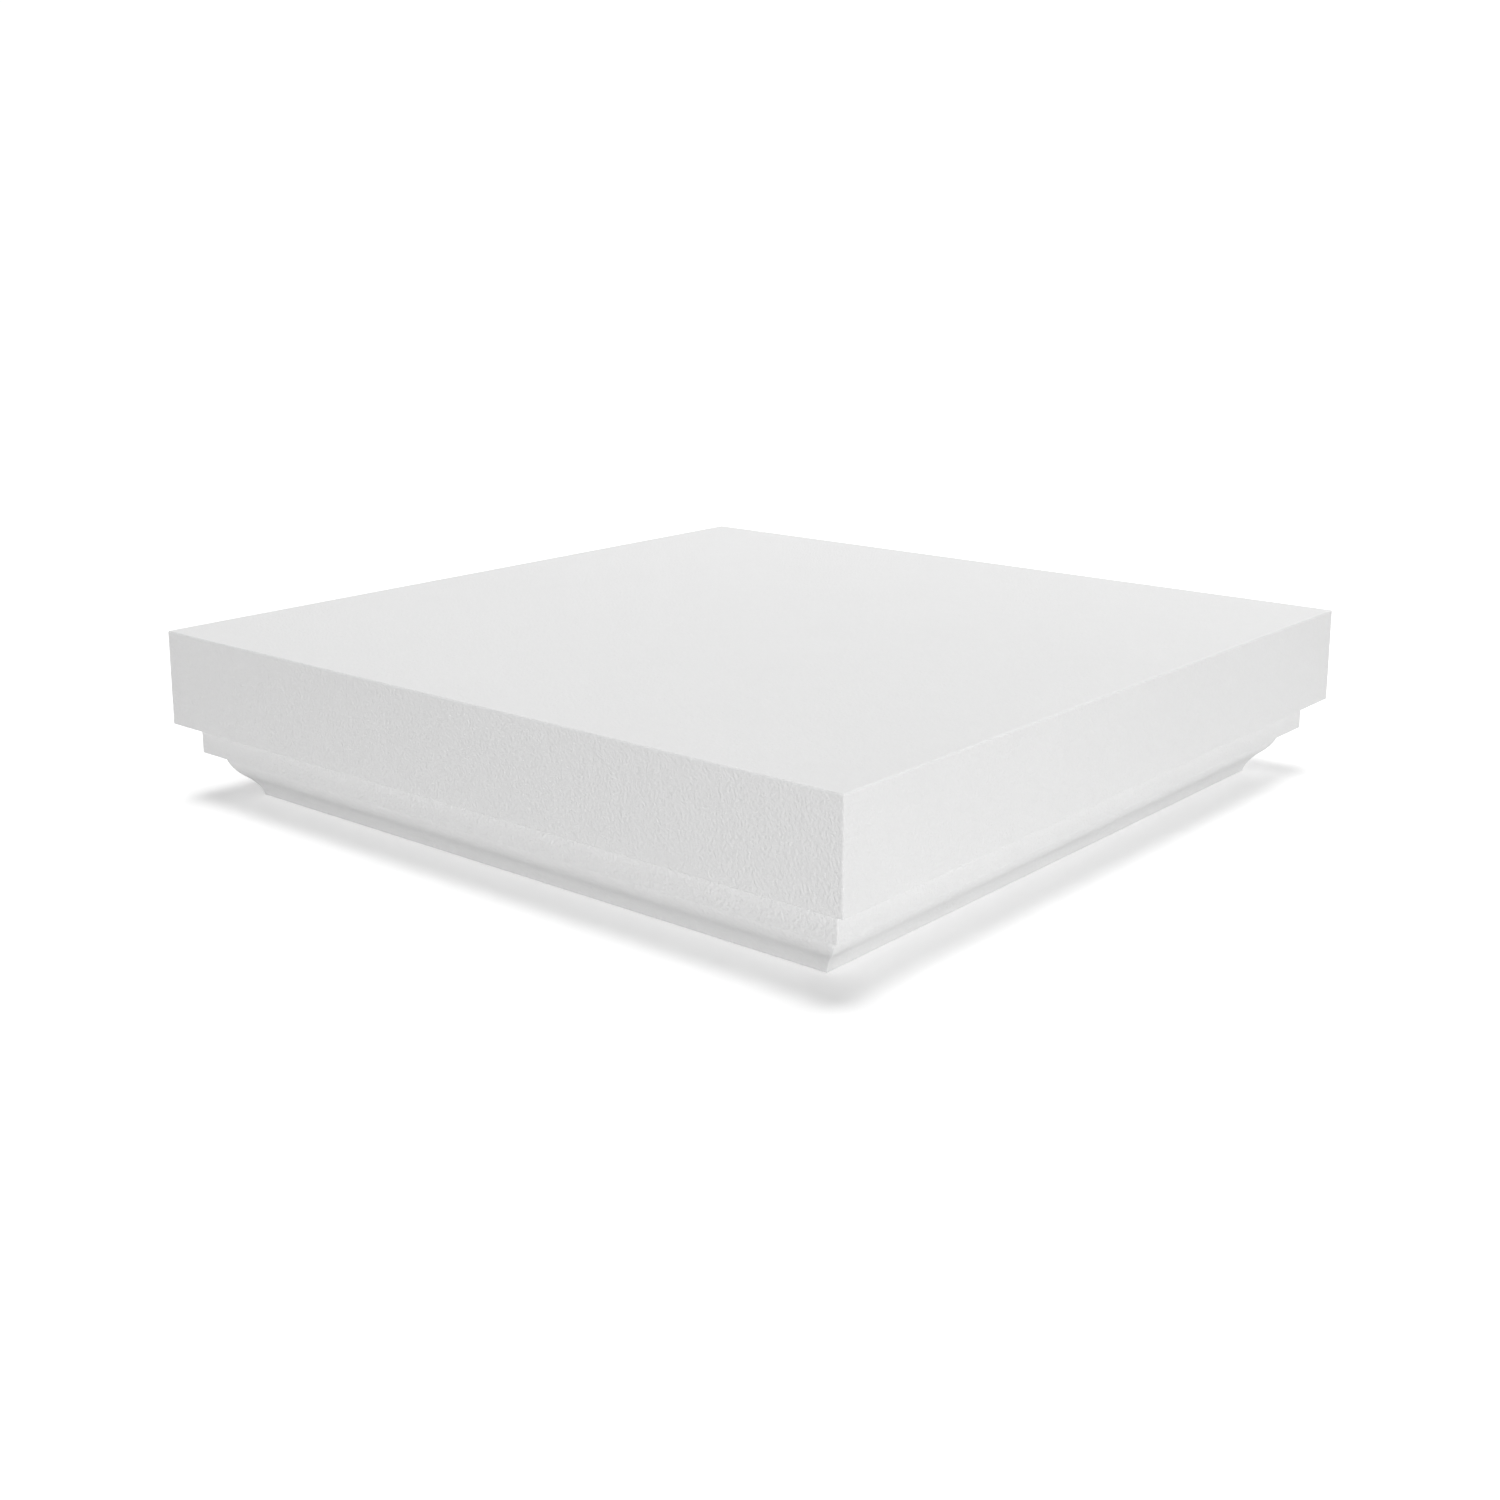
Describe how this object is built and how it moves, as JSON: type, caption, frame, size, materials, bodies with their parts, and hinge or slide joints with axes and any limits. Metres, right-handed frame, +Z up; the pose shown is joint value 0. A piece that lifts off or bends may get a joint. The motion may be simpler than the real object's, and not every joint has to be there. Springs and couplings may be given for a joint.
{
  "type": "balustrade pier cap",
  "caption": "Square pier cap with a flat top, two stepped upright fascias and an ogee moulding drawing in to a smaller square bed.",
  "frame": {"origin": "centre of the square bed on the underside, at the level the cap stands on", "axes": "+Z up through the centre of the cap, +X and +Y square to two of its fascias"},
  "size_m": [0.44, 0.44, 0.09],
  "materials": {
    "cast_stone": "matte"
  },
  "bodies": {
    "root": {"pier_cap": "cast_stone"}
  },
  "joints": []
}
